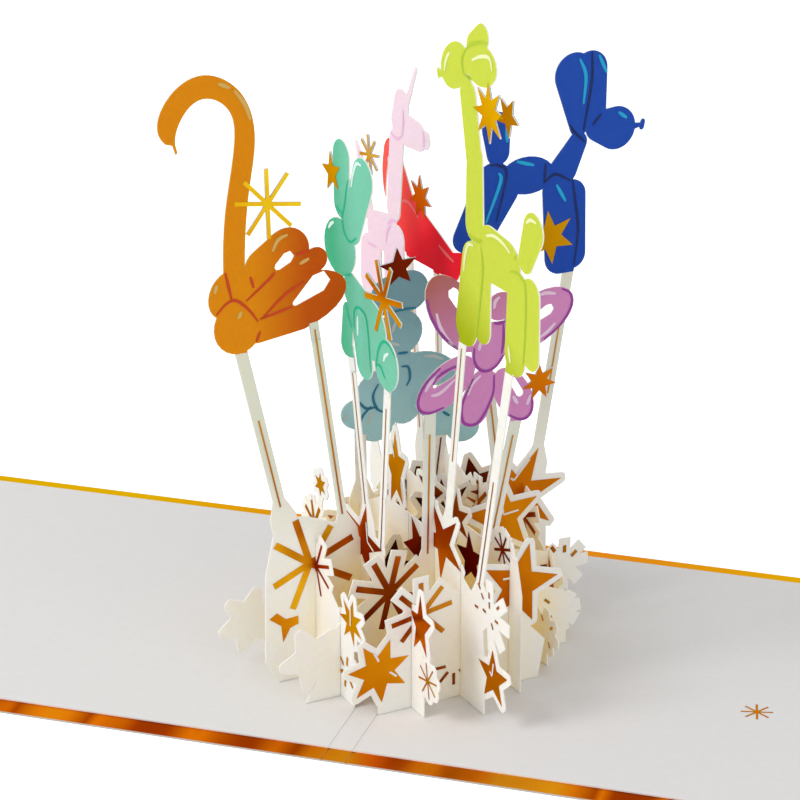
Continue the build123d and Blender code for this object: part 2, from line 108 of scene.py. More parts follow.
def colour(code):
    """An sRGB hex colour as linear RGBA."""
    channels = [int(code[k:k + 2], 16) / 255 for k in (1, 3, 5)]
    linear = [c / 12.92 if c <= 0.04045 else ((c + 0.055) / 1.055) ** 2.4 for c in channels]
    return (*linear, 1.0)


def feed(tree, node, inputs):
    """Sets inputs of a node: each takes a plain value, a socket or the first live output of a node."""
    for name, value in inputs.items():
        if isinstance(value, bpy.types.Node):
            value = next(socket for socket in value.outputs if socket.enabled)
        if isinstance(value, bpy.types.NodeSocket):
            tree.links.new(value, node.inputs[name])
        else:
            node.inputs[name].default_value = value


def add(tree, kind, inputs=None, **settings):
    """Adds a node with its settings and its inputs."""
    node = tree.nodes.new(kind)
    for name, value in settings.items():
        setattr(node, name, value)
    feed(tree, node, inputs or {})
    return node


def start_material(name, finish):
    """A material with its tree, its surface shader and the place in millimetres."""
    material = bpy.data.materials.new(name)
    material.use_nodes = True
    tree = material.node_tree
    surface = tree.nodes["Principled BSDF"]
    feed(tree, surface, finish)
    metres = add(tree, "ShaderNodeTexCoord").outputs["Object"]
    place = add(tree, "ShaderNodeVectorMath", {0: metres, "Scale": 1 / MM}, operation="SCALE")
    return material, tree, surface, place


print("a Mix node takes its two colours at inputs", COLOUR_A, "and", COLOUR_B)

# %% [markdown]
# Cover: board laminated with gold foil, which shows as a border round the liner. Foil is a soft
# mirror, so the eye sees the room in it: brown and orange bands along the near border, and a slow run
# along the far border, from orange by the spine to yellow further out. A true mirror would need that
# room to be built round the card. Noise and two runs of colour paint that reflection into the colour
# of the foil instead, and it looks the same under any light.
# The foil is on the flat faces only. The cut edge of the board is white card, painted grey as the shade
# along that thin edge.

# %% Gold board of the cover
EDGE_GOLD = "#E8A020"
# The board's cut edge: white card, given a grey colour as painted shade along the edge
BOARD_EDGE_SHADE = "#BDBAB3"
BAND_LENGTH = 30.0
BAND_SLANT = 0.08
# Painted reflection: tones of the room, laid as bands along the near border
PAINTED_REFLECTION_BANDS = ((0.40, "#984208"), (0.47, "#D8781E"), (0.50, "#A04A0A"), (0.56, "#D88024"), (0.66, "#E0A030"))
SPINE_REFLECTION_GOLD = "#D8923A"
OUTER_REFLECTION_GOLD = "#D9B806"
SPINE_GOLD_ENDS = 40.0
OUTER_GOLD_STARTS = 100.0
NEAR_BANDS_END = -30.0
FAR_GOLD_STARTS = 40.0
FLAT_FACE = 0.5


def gold_board():
    """Foil with the room's reflection painted in bands, on a board whose white core is painted grey as
    shade.
    """
    finish = {"Roughness": 0.34, "Specular Tint": colour(EDGE_GOLD)}
    material, tree, surface, place = start_material("gold_foil_board", finish)
    # Painted reflection: noise drawn out into bands, then a slow run of gold along the far border
    drawn_out = add(tree, "ShaderNodeVectorMath", {0: place, 1: (1, BAND_SLANT, 0)}, operation="MULTIPLY")
    bands = add(tree, "ShaderNodeTexNoise", {"Vector": drawn_out, "Scale": 1 / BAND_LENGTH,
                                             "Detail": 1.5, "Roughness": 0.5})
    near_painted_reflection = add(tree, "ShaderNodeValToRGB", {0: bands})
    # A new ramp has a black stop at 0 and a white one at 1, and only the black one stays
    stops = near_painted_reflection.color_ramp.elements
    stops.remove(stops[1])
    for position, code in PAINTED_REFLECTION_BANDS:
        stops.new(position).color = colour(code)
    spot = add(tree, "ShaderNodeSeparateXYZ", {0: place}).outputs
    aside = add(tree, "ShaderNodeMath", {0: spot["X"]}, operation="ABSOLUTE")
    outward = add(tree, "ShaderNodeMapRange", {"Value": aside, "From Min": SPINE_GOLD_ENDS,
                                               "From Max": OUTER_GOLD_STARTS})
    far_painted_reflection = add(tree, "ShaderNodeMix", {0: outward, COLOUR_A: colour(SPINE_REFLECTION_GOLD),
                                           COLOUR_B: colour(OUTER_REFLECTION_GOLD)}, data_type="RGBA")
    far = add(tree, "ShaderNodeMapRange", {"Value": spot["Y"], "From Min": NEAR_BANDS_END,
                                           "From Max": FAR_GOLD_STARTS})
    gold = add(tree, "ShaderNodeMix", {0: far, COLOUR_A: near_painted_reflection, COLOUR_B: far_painted_reflection}, data_type="RGBA")
    normal = add(tree, "ShaderNodeNewGeometry").outputs["Normal"]
    level = add(tree, "ShaderNodeSeparateXYZ", {0: normal}).outputs["Z"]
    level = add(tree, "ShaderNodeMath", {0: level}, operation="ABSOLUTE")
    foiled = add(tree, "ShaderNodeMath", {0: level, 1: FLAT_FACE}, operation="GREATER_THAN")
    # The cut edge takes the grey painted shade, the flat faces take the gold with its painted reflection
    shade = add(tree, "ShaderNodeMix", {0: foiled, COLOUR_A: colour(BOARD_EDGE_SHADE), COLOUR_B: gold},
                data_type="RGBA")
    feed(tree, surface, {"Base Color": shade, "Metallic": foiled})
    return material


def dress(node, material):
    """Gives a CAD node its only material."""
    node.data.materials.clear()
    node.data.materials.append(material)


dress(nodes["cover"], gold_board())
print("cover: gold with", len(PAINTED_REFLECTION_BANDS), "tones in its bands")

# %% [markdown]
# Liner: a white laid paper, pressed with close lines while it was wet, which gives the eye a faint
# grain across the panels. The lines could be modelled, but they are far too shallow for that, so a
# wave pattern only tilts the light. A wave repeats every pi / 10 at scale 1, and the scale follows
# from the spacing of the lines. The mottle is drawn coarser than real pulp, so that it shows.

# %% Laid paper of the liner
LAID_SPACING = 0.34558
WAVE_REPEAT = pi / 10
MOTTLE_PER_MM = 0.6
LAID_DEPTH = 0.05


def laid_paper():
    """White paper with fine pressed lines and a little mottle."""
    material, tree, surface, place = start_material("laid_paper", {"Roughness": 0.8})
    mottle = add(tree, "ShaderNodeTexNoise", {"Vector": place, "Scale": MOTTLE_PER_MM, "Detail": 4.0})
    shade = add(tree, "ShaderNodeMix", {0: mottle, COLOUR_A: colour("#DEDDDC"), COLOUR_B: colour("#E4E3E2")},
                data_type="RGBA")
    lines = add(tree, "ShaderNodeTexWave", {"Vector": place, "Scale": WAVE_REPEAT / LAID_SPACING,
                                            "Distortion": 2.0, "Detail": 2.0}, bands_direction="Y")
    bump = add(tree, "ShaderNodeBump", {"Height": lines.outputs["Fac"], "Strength": 0.2,
                                        "Distance": LAID_DEPTH * MM})
    feed(tree, surface, {"Base Color": shade, "Normal": bump})
    return material


dress(nodes["liner"], laid_paper())
print("liner: laid lines every", LAID_SPACING, "mm")

# %% [markdown]
# Slat card: every slat is the same matt white card, printed with one ink where the figure stands and
# die-cut afterwards. The figure could be a shape of its own laid on the card. Put on by height in the
# card's own shader, the ink follows the die-cut edge exactly, and the cut edge itself stays white.
# Light that is caught between foil and card turns the inner walls warm. That takes many bounces, so
# the shader paints that bounce light in: a warm tint and a weak glow low down in the middle. Stems of
# slats that are turned away from the light are greyed with painted shade. Fibre is drawn coarser than
# it is, so that it shows.

# %% Card of the slats
CARD_FINISH = {"Roughness": 0.7, "Specular IOR Level": 0.12, "Subsurface Weight": 0.6,
               "Subsurface Radius": (1.0, 0.75, 0.45), "Subsurface Scale": 0.0012}
FIBRE = {"Scale": 0.9, "Detail": 6.0}
FIBRE_DEPTH = 0.04
INK_MOTTLE = 0.12
FACE_ON = 0.7
# Painted bounce light from the foil: the warm tint and the glow of the inner walls
PAINTED_BOUNCE_COLOUR = "#E4CA84"
PAINTED_GLOW_COLOUR = "#F4CE6A"
PAINTED_BOUNCE_TINT = 0.7
PAINTED_GLOW_STRENGTH = 0.18
HOLLOW_RIM = 38.0
HOLLOW_CORE = 24.0
HOLLOW_TOP = 38.0
HOLLOW_FLOOR = 12.0
# Painted shade: stems of slats turned away from the light are greyed towards the top
STEM_SHADE = "#D6DACF"
GREY_STARTS = 38.0
GREY_FULL = 58.0
SHADE_TURNED_AWAY = 0.85
SHADE_IN_LIGHT = 0.2


def run_on(tree, place, slat, start, end):
    """A value from 0 to 1 as the place goes from one flat point of a slat to another."""
    first = slat.at(start, 0, 1) / MM
    run = slat.at(end, 0, 1) / MM - first
    step = run / run.length_squared
    along = add(tree, "ShaderNodeVectorMath", {0: place, 1: step}, operation="DOT_PRODUCT")
    share = add(tree, "ShaderNodeMath", {0: along, 1: step.dot(first)}, operation="SUBTRACT")
    return add(tree, "ShaderNodeClamp", {"Value": share})


def hollow_of_lattice(tree, place, height):
    """A value from 0 at the outer walls to 1 low down in the middle of the lattice."""
    middle = (0, LATTICE_SHIFT, 0)
    away = add(tree, "ShaderNodeVectorMath", {0: place, 1: middle}, operation="SUBTRACT")
    level = add(tree, "ShaderNodeVectorMath", {0: away, 1: (1, 1, 0)}, operation="MULTIPLY")
    radius = add(tree, "ShaderNodeVectorMath", {0: level}, operation="LENGTH")
    inward = add(tree, "ShaderNodeMapRange", {"Value": radius, "From Min": HOLLOW_RIM,
                                              "From Max": HOLLOW_CORE})
    downward = add(tree, "ShaderNodeMapRange", {"Value": height, "From Min": HOLLOW_TOP,
                                                "From Max": HOLLOW_FLOOR})
    return add(tree, "ShaderNodeMath", {0: inward, 1: downward}, operation="MULTIPLY")


def card_with_painted_light(tree, slat, height, fibre, hollow):
    """The bare card, with painted bounce light warming the hollow of the lattice and painted shade up the
    stems.
    """
    white = add(tree, "ShaderNodeMix", {0: fibre, COLOUR_A: colour("#F3EFE4"), COLOUR_B: colour("#FAF8F1")},
                data_type="RGBA")
    # Painted bounce light: a warm tint low down in the middle of the lattice
    painted_bounce = add(tree, "ShaderNodeMath", {0: hollow, 1: PAINTED_BOUNCE_TINT}, operation="MULTIPLY")
    white = add(tree, "ShaderNodeMix", {0: painted_bounce, COLOUR_A: white, COLOUR_B: colour(PAINTED_BOUNCE_COLOUR)},
                data_type="RGBA")
    # Painted shade: greyer up the stems, more on slats turned away from the light
    upward = add(tree, "ShaderNodeMapRange", {"Value": height, "From Min": GREY_STARTS,
                                              "From Max": GREY_FULL})
    shade = SHADE_TURNED_AWAY if slat.face.x > 0 else SHADE_IN_LIGHT
    grey = add(tree, "ShaderNodeMath", {0: upward, 1: shade}, operation="MULTIPLY")
    return add(tree, "ShaderNodeMix", {0: grey, COLOUR_A: white, COLOUR_B: colour(STEM_SHADE)},
               data_type="RGBA")


def printed_card(name, slat, foot, shaded_inks, start, end):
    """White card that is inked above the height foot, from the first ink at start to the second at end, a
    run of painted light and shade.
    """
    material, tree, surface, place = start_material(name, CARD_FINISH)
    height = add(tree, "ShaderNodeSeparateXYZ", {0: place}).outputs["Z"]
    fibre = add(tree, "ShaderNodeTexNoise", {"Vector": place, **FIBRE})
    hollow = hollow_of_lattice(tree, place, height)
    white = card_with_painted_light(tree, slat, height, fibre, hollow)
    # Painted bounce light: a weak warm glow, though the card is no lamp
    painted_glow = add(tree, "ShaderNodeMath", {0: hollow, 1: PAINTED_GLOW_STRENGTH}, operation="MULTIPLY")
    # Painted light and shade: the ink runs from one tone to the other across the figure
    share = run_on(tree, place, slat, start, end)
    ink = add(tree, "ShaderNodeMix", {0: share, COLOUR_A: colour(shaded_inks[0]), COLOUR_B: colour(shaded_inks[1])},
              data_type="RGBA")
    dark = add(tree, "ShaderNodeMix", {0: INK_MOTTLE, COLOUR_A: ink, COLOUR_B: colour("#000000")},
               data_type="RGBA")
    ink = add(tree, "ShaderNodeMix", {0: fibre, COLOUR_A: dark, COLOUR_B: ink}, data_type="RGBA")
    normal = add(tree, "ShaderNodeNewGeometry").outputs["Normal"]
    facing = add(tree, "ShaderNodeVectorMath", {0: normal, 1: slat.face}, operation="DOT_PRODUCT")
    facing = add(tree, "ShaderNodeMath", {0: facing}, operation="ABSOLUTE")
    on_face = add(tree, "ShaderNodeMath", {0: facing, 1: FACE_ON}, operation="GREATER_THAN")
    on_figure = add(tree, "ShaderNodeMath", {0: height, 1: foot}, operation="GREATER_THAN")
    inked = add(tree, "ShaderNodeMath", {0: on_face, 1: on_figure}, operation="MULTIPLY")
    shade = add(tree, "ShaderNodeMix", {0: inked, COLOUR_A: white, COLOUR_B: ink}, data_type="RGBA")
    bump = add(tree, "ShaderNodeBump", {"Height": fibre, "Strength": 0.1, "Distance": FIBRE_DEPTH * MM})
    feed(tree, surface, {"Base Color": shade, "Normal": bump, "Emission Color": colour(PAINTED_GLOW_COLOUR),
                         "Emission Strength": painted_glow})
    return material


print("warm hollow: within", HOLLOW_RIM, "mm of the middle and below", HOLLOW_TOP, "mm")

# %% [markdown]
# Inks: each figure is printed in one flat colour, as a balloon has. Its ink still runs from one tone
# to another across the figure, and that run is painted light and shade: darker where neighbours shade
# it, as on the bird and the bear's head, and lighter where the lamp reaches. A row gives the height where
# the figure starts, two inks, and the two flat points that the change of colour runs between. The four
# star slats have no figure and stay bare: their ink would start above everything.

# %% Inks of the figures
ABOVE_ALL = 1000.0
NO_INK = (ABOVE_ALL, ("#FFFFFF", "#FFFFFF"), (0, 0), (0, 1))
INKS_WITH_PAINTED_SHADE = {
    "swan": (89.2, ("#E0920A", "#C45A06"), (-48, 108), (-34, 108)),
    "butterfly": (64.4, ("#B06C64", "#D290C6"), (-8, 104), (2, 84)),
    "dog": (89.3, ("#1E4EB4", "#2254BC"), (20, 100), (50, 140)),
    "bear": (42.4, ("#A6D4DE", "#7EAAB6"), (-4, 56), (6, 84)),
    "rabbit": (77.9, ("#44B084", "#74C6AA"), (-7, 106), (4, 108)),
    "giraffe": (92.9, ("#A2B200", "#C4D446"), (30.5, 97), (36, 110)),
    "unicorn": (78.8, ("#F8D6E6", "#F8D8E7"), (-44, 90), (-20, 130)),
    "bird": (85.9, ("#FF5A50", "#EE0A28"), (-50, 108), (-36, 92)),
}
for name, slat in SLATS.items():
    dress(nodes[slat.node], printed_card("card_" + name, slat, *INKS_WITH_PAINTED_SHADE.get(name, NO_INK)))
print("inked figures:", len(INKS_WITH_PAINTED_SHADE))

# %% [markdown]
# Foil and line print are drawn as flat outlines. A star or a burst of rays could be a curve that is
# filled in, but both follow a simple rule of angles, so short functions work the corners out.

# %% Flat outlines
NOTCH_LIMIT = 0.2


def star(centre, points, reach, waist, turn=90.0, stretch=1.0):
    """Outline of a star, its first tip at the angle turn, drawn out upright by stretch."""
    outline = []
    for k in range(2 * points):
        radius = waist if k % 2 else reach
        angle = radians(turn + 180 * k / points)
        outline.append((centre[0] + radius * cos(angle), centre[1] + stretch * radius * sin(angle)))
    return [outline]


def bar(start, end, width):
    """A straight bar between two points."""
    run = (Vector(end) - Vector(start)).normalized() * (width / 2)
    side = Vector((run.y, -run.x))
    return [[tuple(Vector(p) + s) for p, s in ((start, side), (end, side), (end, -side), (start, -side))]]


def rays(centre, width, *tips):
    """Outline of straight rays from a centre to each tip."""
    middle = Vector(centre)
    spokes = sorted((Vector(tip) - middle for tip in tips), key=lambda spoke: atan2(spoke.y, spoke.x))
    outline = []
    for k, spoke in enumerate(spokes):
        heading = spoke.normalized()
        side = Vector((-heading.y, heading.x)) * (width / 2)
        outline += [middle + spoke - side, middle + spoke + side]
        after = spokes[(k + 1) % len(spokes)]
        gap = (atan2(after.y, after.x) - atan2(spoke.y, spoke.x)) % (2 * pi) / 2
        notch = Matrix.Rotation(gap, 2) @ heading
        outline.append(middle + notch * (width / 2 / max(sin(gap), NOTCH_LIMIT)))
    return [outline]


def burst(centre, reach, width, turns=(0, 45, 90, 135)):
    """Rays both ways at the angles in turns."""
    angles = [radians(turn + half) for turn in turns for half in (0, 180)]
    return rays(centre, width, *[Vector(centre) + Vector((cos(a), sin(a))) * reach for a in angles])


print("a five-pointed star has", len(star((0, 0), 5, 1.0, 0.5)[0]), "corners")

# %% [markdown]
# On the real card print has no thickness. Two faces in the same place would flicker, so a drawing
# stands a few hundredths of a millimetre off the card, on both faces, and line print stands a little
# further off than foil. All outlines of a drawing become one mesh, and it rides on the card.

# %% Pieces that ride on the card
FOIL_PROUD = 0.03
LINE_PROUD = 0.06


def ride_on_card(name, mesh, material):
    """Makes a mesh a piece that rides on the card."""
    mesh.materials.clear()
    mesh.materials.append(material)
    piece = bpy.data.objects.new(name, mesh)
    bpy.context.scene.collection.objects.link(piece)
    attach(piece, "root")
    return piece


def print_on(name, slat, shapes, material, proud):
    """Lays flat shapes on both faces of a slat as one piece."""
    corners, faces = [], []
    for side in (1, -1):
        for shape in shapes:
            first = len(corners)
            corners += [slat.at(point, proud, side) for point in shape]
            faces.append(list(range(first, len(corners))))
    mesh = bpy.data.meshes.new(name)
    mesh.from_pydata(corners, [], faces)
    mesh.update()
    for polygon in mesh.polygons:
        middle = polygon.center / MM - slat.origin
        if polygon.normal.dot(slat.face) * middle.dot(slat.face) < 0:
            polygon.flip()
    return ride_on_card(name, mesh, material)


print("foil stands off by", FOIL_PROUD, "mm and line print by", LINE_PROUD, "mm")

# %% [markdown]
# Stamped foil: a hot die presses metal film on to the card. It mirrors its surroundings, so stars
# near the edge look bright and stars deep in the lattice look brown and dark in shade. A plain mirror
# would show only the pale studio of this scene. Reflection and shade are painted into each patch of
# foil instead: it runs from a deep tone at one point to a bright tone at another, broken by soft
# patches, as on any mirror that is not quite flat.

# %% Gold foil
FOIL_PATCH = 7.0
PATCH_MIDDLE = 0.45
PATCH_SWING = 0.7


def foil(name, slat, deep, bright, start, end):
    """Gold foil with painted reflection and shade, from a deep tone at start to a bright one at end."""
    finish = {"Metallic": 1.0, "Roughness": 0.32, "Specular Tint": colour(EDGE_GOLD)}
    material, tree, surface, place = start_material("foil_" + name, finish)
    patch = add(tree, "ShaderNodeTexNoise", {"Vector": place, "Scale": 1 / FOIL_PATCH, "Detail": 1.0})
    # Painted reflection: soft patches break the run of tone
    painted_reflection_wobble = add(tree, "ShaderNodeMath", {0: patch, 1: PATCH_MIDDLE}, operation="SUBTRACT")
    painted_reflection_wobble = add(tree, "ShaderNodeMath", {0: painted_reflection_wobble, 1: PATCH_SWING}, operation="MULTIPLY")
    # Painted reflection and shade: deep tone at start, bright tone at end
    share = run_on(tree, place, slat, start, end)
    share = add(tree, "ShaderNodeMath", {0: share, 1: painted_reflection_wobble}, operation="ADD")
    share = add(tree, "ShaderNodeClamp", {"Value": share})
    gold = add(tree, "ShaderNodeMix", {0: share, COLOUR_A: colour(deep), COLOUR_B: colour(bright)},
               data_type="RGBA")
    feed(tree, surface, {"Base Color": gold})
    return material


def stamp_foils(part, table, proud):
    """Stamps every patch of foil in a table on its slat."""
    for index, (name, deep, bright, start, end, shapes) in enumerate(table):
        title = f"{name}_{part}_foil_{index}"
        gold = foil(title, SLATS[name], deep, bright, start, end)
        print_on(title, SLATS[name], shapes, gold, proud)
    print(part, "foils:", len(table))


print("soft patches in the foil:", FOIL_PATCH, "mm")

# %% [markdown]
# The walls below the figures are full of stars, bursts and small dashes, each stamped at a place of
# its own. They are no pattern that repeats, so each has a row of its own: the slat, the deep
# and the bright tone, the two points that the tone runs between, and the outlines.

# %% Foil on the walls


def flecks(centre, length, width, *places):
    """Short dashes that point away from a centre."""
    shapes = []
    for place in places:
        out = (Vector(place) - Vector(centre)).normalized() * (length / 2)
        shapes += bar(Vector(place) - out, Vector(place) + out, width)
    return shapes


# Tones near black are painted shade on stars low in the lattice
WALL_FOILS = [
    ("near_right_star", "#CE7002", "#E69A10", (-33, 6), (-24, 20), star((-29.1, 12.55), 7, 8.5, 4.2, 172)),
    ("near_right_star", "#9A480A", "#D08A20", (-21, 24), (-13, 26),
     burst((-17.5, 25.25), 8.3, 1.3, (10, 48, 92, 135))),
    ("near_right_star", "#B85406", "#D87E0A", (3, 22), (14, 30), star((9.2, 27.15), 5, 11, 4.6, 75)),
    ("near_left_star", "#7A2606", "#B85A14", (2, 28), (12, 34),
     burst((7.3, 30.35), 7.5, 0.9, (20, 65, 110, 155))),
    ("near_left_star", "#DCA008", "#F0BC14", (24, 18), (28, 28), star((26, 23.25), 7, 6.2, 2.6, 80)),
    ("far_left_star", "#A85010", "#D98A20", (-8, 12), (16, 28),
     star((-4.03, 18.95), 7, 7, 3.2) + burst((12.76, 24.95), 7, 1.3, (10, 55, 100, 145))),
    ("far_right_star", "#A85010", "#D98A20", (-10, 12), (10, 28),
     star((6.7, 12.95), 5, 6.5, 2.8) + burst((-6.7, 24.95), 7, 1.3, (22.5, 67.5, 112.5, 157.5))),
    ("swan", "#B85406", "#F0B418", (-29, 34), (-39, 27),
     rays((-34.2, 31.3), 1.8, (-38, 43.5), (-43.5, 38), (-44, 27), (-39, 20), (-22.5, 36), (-23, 25))),
    ("swan", "#D47C08", "#EC9C10", (-45, 14), (-38, 18),
     [[(-45.4, 18.5), (-43.3, 19.8), (-40.9, 17.7), (-37.5, 17.9), (-37.5, 15.7), (-39.7, 15.1),
       (-41.7, 11.5), (-42.2, 16.1)]]),
    ("swan", "#2A0A04", "#4A1606", (-18, 20), (-6, 28), star((-12.1, 23.95), 5, 9, 4, 80)),
    ("swan", "#B85C06", "#DC860C", (14, 26), (22, 30), star((19.5, 32.45), 5, 10.8, 4.5, 93)),
    ("swan", "#8A3A08", "#C88018", (32, 16), (42, 19),
     flecks((37.9, 15.75), 2.0, 1.0, (34.6, 20.5), (38, 19.9), (40.8, 18.1), (31.9, 16.3))),
    ("butterfly", "#7A2806", "#CC6A12", (-20, 22), (-20, 35),
     burst((-19.2, 25.65), 9.6, 1.6, (-18, 38, 76, 117))),
    ("butterfly", "#B07818", "#D0A030", (24, 14), (27, 4),
     flecks((29.3, 9.95), 2.0, 0.7, (25.2, 13.6), (25.7, 8.9), (25.8, 6.1), (27.3, 4.9))),
    ("dog", "#8A3A06", "#D0740A", (22, 26), (34, 34), star((31, 30.95), 7, 13.8, 5.6, 61)),
    ("dog", "#2A0C04", "#5A2A10", (4, 26), (16, 36), star((9.4, 30.45), 7, 9.5, 4.6)),
    ("bear", "#4A1804", "#7A2E08", (20, 22), (32, 34),
     star((26.2, 28.95), 5, 9, 4, 100) + burst((8.06, 30.95), 7.5, 1.4, (30, 75, 120, 165))),
    ("rabbit", "#8E3406", "#C05C10", (12, 28), (3, 42), star((8.2, 34.85), 5, 10.4, 3.8, 80)),
    ("rabbit", "#B04C06", "#DC7C0C", (36, 32), (40, 20), star((38.3, 24.45), 5, 5.6, 2.3, stretch=1.5)),
    ("rabbit", "#B87008", "#D8A018", (-24, 24), (-12, 42),
     burst((-18.8, 28.95), 6, 1.2, (15, 60, 105, 150)) + star((-15.3, 40.95), 6, 3.3, 1.5)),
    ("giraffe", "#B04A06", "#E0800C", (22, 42), (27, 32), star((24.4, 38.15), 5, 10.4, 3.6, 49)),
    ("giraffe", "#C07C10", "#E0A020", (-4, 40), (4, 56), star((0, 47.95), 5, 5.4, 2.6, 96, 1.95)),
    ("giraffe", "#5E2006", "#A04A0C", (6, 26), (18, 38), star((12.2, 31.5), 5, 8.3, 3.6, 118)),
    ("giraffe", "#D07608", "#EA960E", (46, 18), (54, 8), star((50, 12.95), 5, 7.4, 3.1, 92)),
    ("giraffe", "#A8600C", "#D89A28", (40, 28), (53, 34),
     flecks((48.2, 28.45), 1.6, 0.7, (42.9, 34.2), (44.5, 32.2), (47.7, 33.7), (47.9, 31.2), (52, 32.2),
            (51.4, 28.3), (49.4, 26.3), (41.6, 28.3), (45.5, 28.8))),
    ("unicorn", "#6A3008", "#A86018", (0, 30), (10, 40),
     star((6.7, 34.95), 6, 7, 3) + star((-6.7, 36.95), 5, 7, 3)),
    ("unicorn", "#2E0E04", "#5E2A0C", (8, 22), (18, 32), star((14.2, 26.6), 5, 7.4, 3.2, 98)),
    ("bird", "#B86A10", "#E0B020", (-10, 24), (32, 10),
     flecks((28.9, 9.95), 1.6, 0.7, (27, 13), (31.5, 12), (30.5, 7)) + burst((-6.7, 30.95), 6.4, 1.2)),
    ("swan", "#D08410", "#F0B41C", (-31, 35), (-29, 40), bar((-31.6, 35.3), (-28.4, 40.2), 1.8)),
]
stamp_foils("wall", WALL_FOILS, FOIL_PROUD)

# %% [markdown]
# The stars that float by the figures are foil too, cut out whole with the figure, so the foil here
# covers them to the edge. It stands a little further off than line print, because a star lies on
# top of the ink where it meets the figure.

# %% Foil stars on the figures
FIGURE_FOILS = [
    ("swan", "#ECB008", "#FFD628", (-50, 120), (-40, 130),
     burst((-44, 125), 8.6, 1.0, (-8.5, 52.5, 91.5, 134))),
    ("butterfly", "#C46406", "#DA7C0C", (18, 70), (25, 77), star((21.8, 73.4), 7, 4.9, 2.2)),
    ("dog", "#B87E02", "#CC9208", (35, 95), (45, 104), star((39.9, 99.4), 6, 7.2, 3.2, 96)),
    ("bear", "#6A1E04", "#84280A", (0, 89), (8, 97), star((4.2, 93), 5, 5.4, 2.3, 94)),
    ("rabbit", "#CC9402", "#E0AC10", (-10, 122), (-4, 128), star((-7.4, 125.2), 5, 5.2, 2.1, 100)),
    ("rabbit", "#E09A0A", "#F2B418", (12, 96), (26, 106),
     burst((19.3, 101.3), 9.6, 1.4, (10, 67, 112, 158))),
    ("giraffe", "#D89A10", "#F4C41C", (40, 146), (48, 156), star((45, 152), 8, 7.2, 3.2, 94)),
    ("giraffe", "#B07802", "#CC9008", (50, 150), (57, 157), star((53.6, 153.4), 5, 4.9, 2.1, 62)),
    ("unicorn", "#C8902A", "#E8C060", (-44, 112), (-37, 120),
     burst((-40.4, 116.4), 5.2, 0.8, (10, 55, 100, 145))),
    ("bird", "#B84418", "#DC7A28", (-42, 98), (-34, 108), star((-38.2, 103.6), 7, 6, 2.7, 95)),
]
stamp_foils("figure", FIGURE_FOILS, LINE_PROUD + FOIL_PROUD)

# %% [markdown]
# Rings of thin foil rays repeat on several slats and on the liner. Each could be drawn by itself, but
# one Geometry Nodes group makes them all: it stands a row of points on an arc, puts a small bar on
# each and turns the bar outwards. Where the rays meet, a small disc closes the middle.

# %% A group for rings of rays
RING_INPUTS = (("Rays", "NodeSocketInt"), ("Start", "NodeSocketFloat"), ("Step", "NodeSocketFloat"),
               ("Inner", "NodeSocketFloat"), ("Outer", "NodeSocketFloat"), ("Width", "NodeSocketFloat"),
               ("Uneven", "NodeSocketFloat"), ("Seed", "NodeSocketInt"), ("Hub", "NodeSocketBool"),
               ("Foil", "NodeSocketMaterial"))
HALF_TURN = 180.0
RANDOM_MIN = 2
RANDOM_MAX = 3


